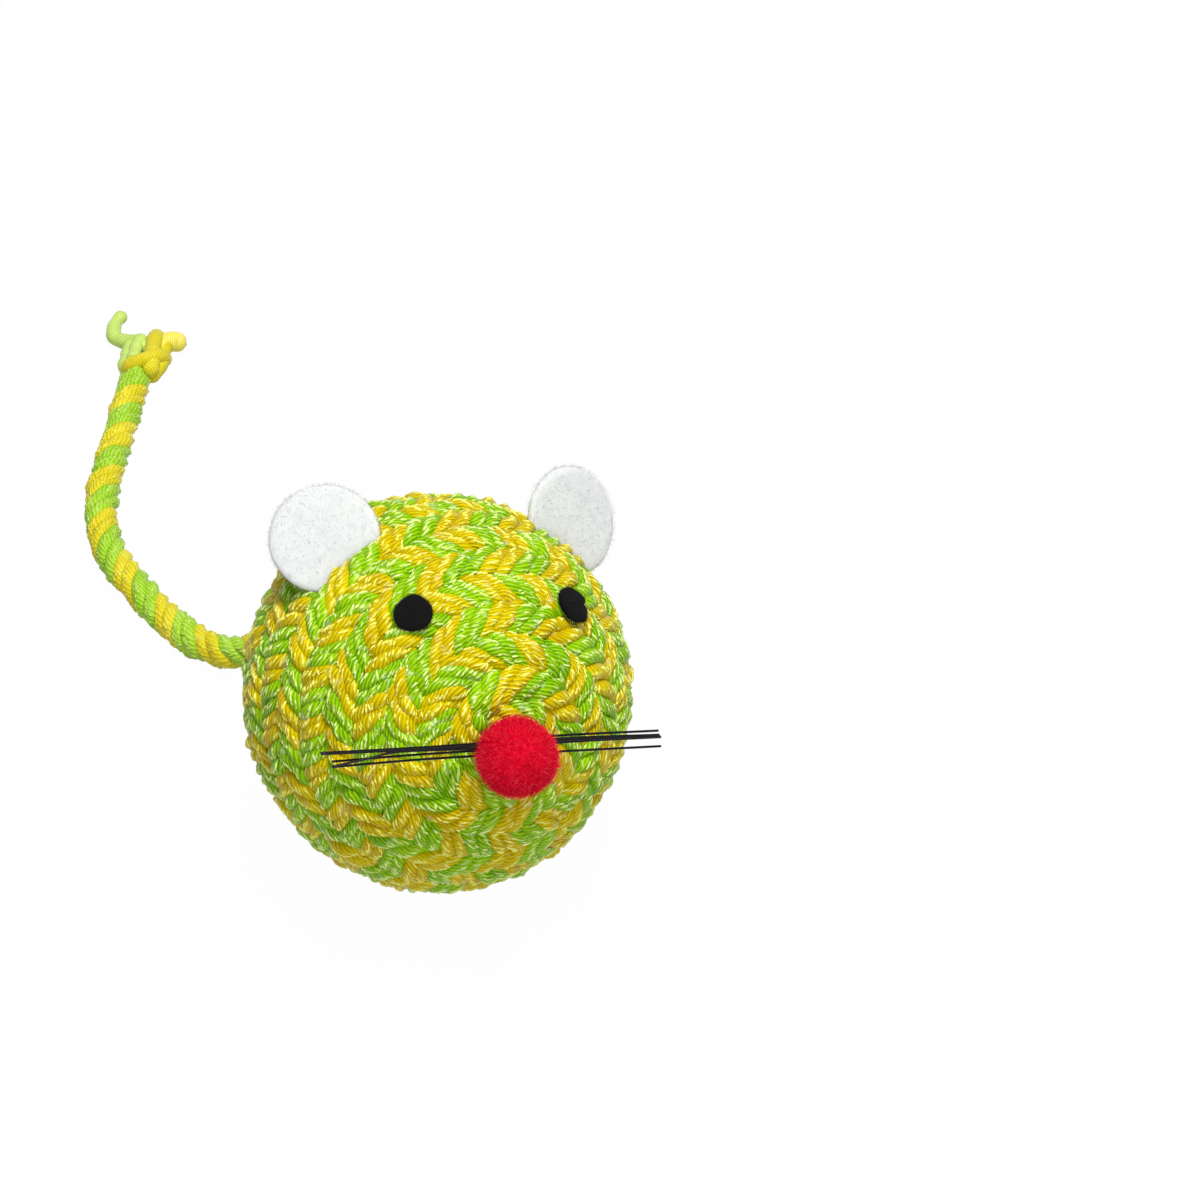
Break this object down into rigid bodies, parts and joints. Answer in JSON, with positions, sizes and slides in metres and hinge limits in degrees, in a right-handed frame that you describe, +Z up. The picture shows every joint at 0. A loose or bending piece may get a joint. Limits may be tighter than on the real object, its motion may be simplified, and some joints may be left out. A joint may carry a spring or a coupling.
{
  "type": "mouse cat toy",
  "caption": "Rope-wound ball toy shaped as a mouse, with felt ears and eyes, pompom nose, whiskers and a knotted rope tail.",
  "frame": {"origin": "middle of the flat that the ball rests on, straight under the ball's centre", "axes": "+Z up, the nose towards -Y and tilted up, the tail towards +Y, +X to the toy's left"},
  "size_m": [0.0649, 0.169, 0.0617],
  "materials": {
    "rope": "four-ply rope of lustrous yarn, two yellow and two lime green",
    "yarn_yellow": "twisted lustrous yarn",
    "yarn_green": "twisted lustrous yarn",
    "foam": "light foam ball",
    "white_felt": "thick felt",
    "black_felt": "felt",
    "pompom": "dense fluffy fibre",
    "whisker": "glossy monofilament"
  },
  "bodies": {
    "ball": {"foam_core": "foam", "winding_rope_s": "rope", "winding_rope_z": "rope", "eye_left": "black_felt", "eye_right": "black_felt", "nose_pompom": "pompom", "whisker_1": "whisker", "whisker_2": "whisker", "whisker_3": "whisker", "whisker_4": "whisker", "whisker_5": "whisker"},
    "ear_left": {"ear_left": "white_felt"},
    "ear_right": {"ear_right": "white_felt"},
    "tail": {"tail": "rope", "tail_knot": "yarn_yellow", "tail_yarn_end_green": "yarn_green", "tail_yarn_end_yellow": "yarn_yellow"}
  },
  "joints": [
    {"name": "ear_left_flap", "type": "hinge", "parent": "ball", "child": "ear_left", "pos_m": [0.02472, 0.00663, 0.04634], "axis": [0.5894, -0.285, -0.7559], "range_deg": [-25, 25], "stiffness_Nm_per_rad": 0.0005},
    {"name": "ear_right_flap", "type": "hinge", "parent": "ball", "child": "ear_right", "pos_m": [-0.01179, 0.00951, 0.05616], "axis": [0.9192, 0.2118, 0.3319], "range_deg": [-25, 25], "stiffness_Nm_per_rad": 0.0005},
    {"name": "tail_swing", "type": "hinge", "parent": "ball", "child": "tail", "pos_m": [0, 0.03397, 0.01359], "axis": [0, 0, 1], "range_deg": [-40, 40]}
  ]
}
